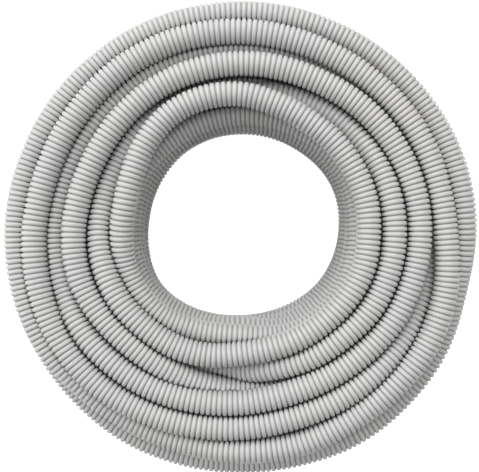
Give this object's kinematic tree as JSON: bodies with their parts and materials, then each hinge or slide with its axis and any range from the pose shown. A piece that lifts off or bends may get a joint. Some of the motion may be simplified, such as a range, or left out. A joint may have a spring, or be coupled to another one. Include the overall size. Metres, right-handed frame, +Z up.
{
  "type": "corrugated conduit coil",
  "caption": "Coil of light-grey corrugated plastic conduit, wound in round turns about an open bore and lying flat, for running electrical cable.",
  "frame": {"origin": "on the coil's axis, at floor level under the coil", "axes": "+Z up along the coil's axis; the coil lies flat with its turns round +Z"},
  "size_m": [0.4076, 0.4076, 0.123],
  "materials": {
    "conduit": "light-grey moulded plastic, satin"
  },
  "bodies": {
    "root": {"conduit_coil": "conduit"}
  },
  "joints": []
}
